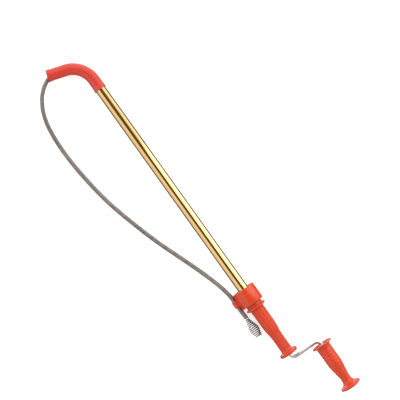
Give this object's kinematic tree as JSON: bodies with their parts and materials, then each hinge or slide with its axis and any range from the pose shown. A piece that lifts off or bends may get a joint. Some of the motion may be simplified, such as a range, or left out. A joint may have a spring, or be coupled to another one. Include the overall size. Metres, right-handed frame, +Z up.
{
  "type": "drain auger",
  "caption": "Closet drain auger with a bent guide tube, vinyl guard, pull-out crank rod, moulded grips and a steel cable looped back to a clip.",
  "frame": {"origin": "on the surface that the collar rests on, under the middle of the tool's box, measured without the free cable and its bulb head", "axes": "+X along the guide tube's axis towards the crank, +Z up from the surface the tool lies on; the bend, the cable loop and the crank arm lie parallel to XY, with the bend and the cable towards -Y and the crank grip towards +Y"},
  "size_m": [1.1441, 0.2926, 0.0593],
  "materials": {
    "moulded_red": "satin moulded red plastic, slightly orange",
    "vinyl_red": "smooth semi-gloss red vinyl",
    "zinc_yellow_steel": "polished, yellow zinc plated",
    "plated_rod_steel": "bright zinc plated rod",
    "cable_steel": "oiled grey steel winding",
    "bulb_steel": "dark oiled spring wire",
    "fastener_steel": "zinc plated",
    "nylon": "natural nylon"
  },
  "bodies": {
    "guide": {"guide_tube": "zinc_yellow_steel", "vinyl_guard": "vinyl_red", "collar_front_shell": "moulded_red", "collar_back_shell": "moulded_red", "collar_screw_1": "fastener_steel", "collar_screw_2": "fastener_steel", "collar_screw_3": "fastener_steel", "collar_screw_4": "fastener_steel", "collar_rivet": "fastener_steel", "main_grip": "moulded_red", "grip_screw": "fastener_steel", "grip_bushing": "nylon", "cable_inner": "cable_steel", "cable_free": "cable_steel"},
    "slider": {"rod_guide": "nylon"},
    "crank": {"crank_rod": "plated_rod_steel", "cable_coupling": "fastener_steel", "coupling_screw_1": "fastener_steel", "coupling_screw_2": "fastener_steel", "retaining_ring_front": "fastener_steel", "retaining_ring_rear": "fastener_steel", "grip_stop_ring": "fastener_steel", "grip_washer": "fastener_steel", "push_nut": "fastener_steel"},
    "crank_handle": {"crank_grip": "moulded_red", "grip_end_cap": "moulded_red"},
    "bulb": {"bulb_head": "bulb_steel"}
  },
  "joints": [
    {"name": "crank_slide", "type": "slide", "parent": "guide", "child": "slider", "axis": [1, 0, 0], "range_m": [0, 0.815]},
    {"name": "crank_spin", "type": "hinge", "parent": "slider", "child": "crank", "pos_m": [0.1957, -0.0065, 0.0291], "axis": [1, 0, 0], "continuous": true},
    {"name": "crank_grip_spin", "type": "hinge", "parent": "crank", "child": "crank_handle", "pos_m": [0.4957, 0.0763, 0.0291], "axis": [1, 0, 0], "continuous": true},
    {"name": "bulb_spin", "type": "hinge", "parent": "guide", "child": "bulb", "pos_m": [0.2957, -0.0439, 0.0251], "axis": [1, 0, 0], "continuous": true}
  ],
  "couplings": [
    {"joint": "bulb_spin", "follows": "crank_spin", "ratio": -1}
  ]
}
